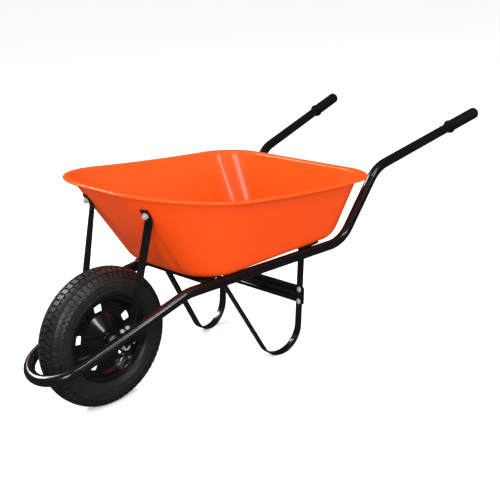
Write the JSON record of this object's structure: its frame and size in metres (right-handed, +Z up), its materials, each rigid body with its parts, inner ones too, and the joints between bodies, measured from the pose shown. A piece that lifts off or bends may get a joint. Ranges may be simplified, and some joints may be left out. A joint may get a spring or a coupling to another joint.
{
  "type": "wheelbarrow",
  "caption": "Wheelbarrow with a bent tube frame looped round a pneumatic wheel, a pressed steel tub, flat-bar legs and struts, and moulded grips.",
  "frame": {"origin": "centre of the whole part's bounding box, on the floor it stands on", "axes": "+X from the wheel to the grips, +Y to the side on the right of a person between the handles, +Z up"},
  "size_m": [1.523, 0.614, 0.6206],
  "materials": {
    "frame_paint": "gloss black stoved paint",
    "rim_paint": "gloss black",
    "tub_paint": "gloss orange paint",
    "grip": "matt moulded",
    "zinc": "bright zinc plated",
    "axle_steel": "blackened turned steel",
    "tyre": "satin",
    "inner_rubber": "satin",
    "cap": "matt",
    "nylon": "matt"
  },
  "bodies": {
    "chassis": {"frame_tube": "frame_paint", "grip_left": "grip", "grip_right": "grip", "tub": "tub_paint", "cross_plate_front": "frame_paint", "cross_plate_rear": "frame_paint", "strut_left": "frame_paint", "strut_right": "frame_paint", "leg_left": "frame_paint", "leg_right": "frame_paint", "leg_cross_member": "frame_paint", "axle_bracket_left": "frame_paint", "axle_bracket_right": "frame_paint", "axle": "axle_steel", "axle_spacer_left": "axle_steel", "axle_spacer_right": "axle_steel", "axle_washers": "zinc", "axle_nuts": "zinc", "tub_bolts": "zinc", "tub_washers": "zinc", "tub_nuts": "zinc", "strut_bolts": "zinc", "strut_washers": "zinc", "strut_nuts": "zinc", "bracket_bolts": "zinc", "bracket_nuts": "zinc", "cross_member_bolts": "zinc", "cross_member_nuts": "zinc"},
    "wheel": {"tyre": "tyre", "inner_tube": "inner_rubber", "valve_stem": "inner_rubber", "valve_cap": "cap", "rim_half_left": "rim_paint", "rim_half_right": "rim_paint", "rim_rivets": "rim_paint", "hub_tube": "rim_paint", "hub_bush_left": "nylon", "hub_bush_right": "nylon"}
  },
  "joints": [
    {"name": "wheel_spin", "type": "hinge", "parent": "chassis", "child": "wheel", "pos_m": [-0.5445, 0, 0.181], "axis": [0, 1, 0], "continuous": true}
  ]
}
